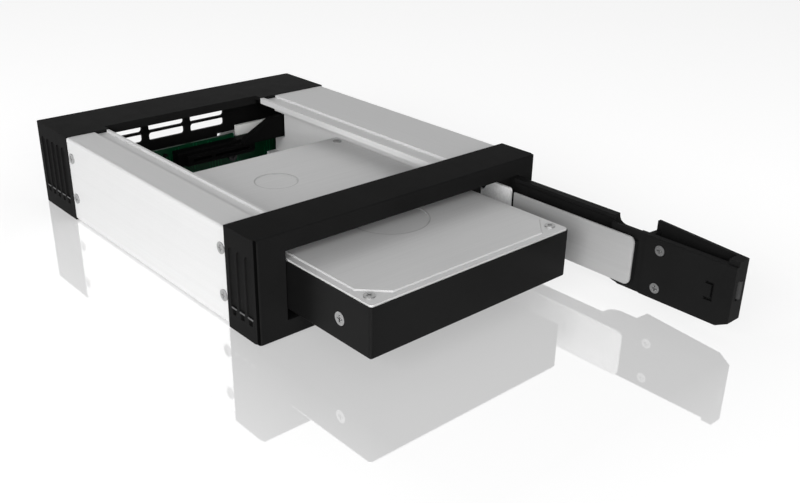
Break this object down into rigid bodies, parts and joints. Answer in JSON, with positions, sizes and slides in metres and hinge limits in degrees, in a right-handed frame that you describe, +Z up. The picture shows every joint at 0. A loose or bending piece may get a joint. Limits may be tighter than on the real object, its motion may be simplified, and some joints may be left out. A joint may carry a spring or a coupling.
{
  "type": "hot swap drive cage",
  "caption": "Hot swap cage for a hard drive: metal rails between a moulded faceplate and rear cap, hinged door with a sprung latch, sliding drive, ejector and backplane.",
  "frame": {"origin": "Middle of the faceplate's underside, on the plane that the cage stands on.", "axes": "+X to the right seen from the front, +Y into the cage from its front, +Z up."},
  "size_m": [0.148, 0.2979, 0.042],
  "materials": {
    "rail_aluminium": "extruded, fine grain along its length",
    "cage_plastic": "moulded, fine satin texture",
    "door_plastic": "moulded, fine satin texture",
    "steel_screw": "plated steel, cross recess",
    "dark_screw": "dark plated steel, cross recess",
    "black_screw": "black oxide steel, cross recess",
    "pin_steel": "ground steel",
    "leaf_steel": "smooth satin spring steel",
    "bar_steel": "plain stamped steel",
    "arm_plastic": "moulded",
    "bolt_plastic": "moulded, smooth",
    "board_green": "solder mask over glass fibre",
    "connector_black": "moulded",
    "connector_white": "moulded nylon",
    "chip_black": "moulded",
    "drive_casting": "dark coated casting",
    "drive_cover": "stamped sheet, fine satin"
  },
  "bodies": {
    "cage": {"left_rail": "rail_aluminium", "right_rail": "rail_aluminium", "left_rail_screws": "steel_screw", "right_rail_screws": "steel_screw", "front_bezel": "cage_plastic", "rear_cap": "cage_plastic", "hinge_pin": "pin_steel", "backplane_board": "board_green", "board_screws": "black_screw", "board_components": "chip_black", "drive_socket": "connector_black", "power_port": "connector_white", "power_pins": "pin_steel", "data_port": "connector_black"},
    "drive": {"drive_base": "drive_casting", "drive_lid": "drive_cover", "lid_screws": "steel_screw", "drive_side_screws": "steel_screw", "drive_board": "board_green", "drive_plug": "connector_black"},
    "door": {"door_shell": "door_plastic", "door_inner_cover": "door_plastic", "door_screws": "dark_screw", "pusher_leaf": "leaf_steel"},
    "latch": {"latch_bolt": "bolt_plastic"},
    "ejector": {"ejector_bar": "bar_steel", "ejector_arm": "arm_plastic", "ejector_rivets": "pin_steel"}
  },
  "joints": [
    {"name": "drive_slide", "type": "slide", "parent": "cage", "child": "drive", "axis": [0, 1, 0], "range_m": [0, 0.0578]},
    {"name": "door_swing", "type": "hinge", "parent": "cage", "child": "door", "pos_m": [0.0577, -0.0041, 0.02], "axis": [0, 0, 1], "range_deg": [-90, 0], "deforming": ["pusher_leaf"]},
    {"name": "ejector_slide", "type": "slide", "parent": "cage", "child": "ejector", "axis": [0, 1, 0], "range_m": [0, 0.012]},
    {"name": "latch_slide", "type": "slide", "parent": "door", "child": "latch", "axis": [0, 1, 0], "range_m": [-0.0025, 0.0007], "stiffness_N_per_m": 600, "springref_m": -0.0045}
  ],
  "couplings": [
    {"joint": "door_swing", "follows": "drive_slide", "rad_per_m": -27.176},
    {"joint": "ejector_slide", "follows": "drive_slide", "ratio": 0.2076}
  ]
}
